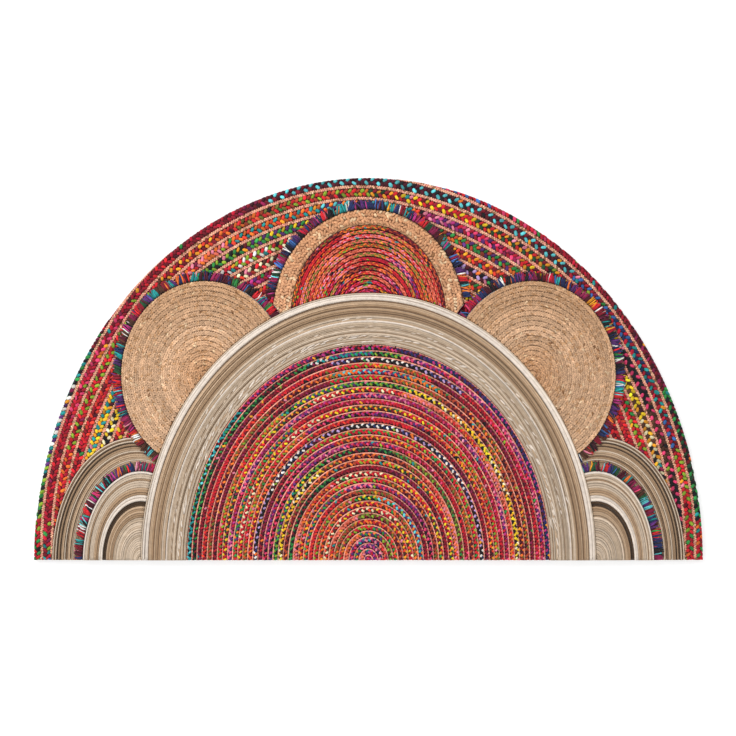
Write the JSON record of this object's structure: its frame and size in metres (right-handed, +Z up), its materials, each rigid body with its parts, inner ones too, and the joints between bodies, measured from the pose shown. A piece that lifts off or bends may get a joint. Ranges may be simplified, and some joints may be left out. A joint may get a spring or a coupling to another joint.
{
  "type": "half-round braided doormat",
  "caption": "Flat half-round doormat pieced from coiled rag, jute and cotton cord rounds, with short rag fringes round the raised rounds.",
  "frame": {"origin": "on the floor under the middle of the mat's bounding box", "axes": "+X along the straight edge to the right, +Y from the straight edge towards the crown of the arch, +Z up out of the walked-on face"},
  "size_m": [0.7, 0.4, 0.0115],
  "materials": {
    "field_rag": "flat braids of cotton rag strips, crimson mixed with green, teal and yellow",
    "centre_rag": "fine three-strand rag braids in many colours with jute between the rows",
    "top_rag": "fine rag braids, mostly red, pink and orange",
    "fringe_rag": "short cut rag ends in many colours",
    "jute": "natural golden jute braid, dry and hairy",
    "jute_border": "thick pale jute braid, matt",
    "pale_cord": "cream and beige cotton cord in bands",
    "taupe_cord": "taupe and beige cotton cord in bands"
  },
  "bodies": {
    "root": {"field": "field_rag", "centre_round": "centre_rag", "centre_band": "pale_cord", "top_round": "top_rag", "top_border": "jute_border", "top_fringe": "fringe_rag", "jute_round_left": "jute", "jute_round_right": "jute", "jute_fringe_left": "fringe_rag", "jute_fringe_right": "fringe_rag", "corner_round_left": "pale_cord", "corner_round_right": "pale_cord", "corner_fringe_left": "fringe_rag", "corner_fringe_right": "fringe_rag", "corner_band_left": "taupe_cord", "corner_band_right": "taupe_cord"}
  },
  "joints": []
}
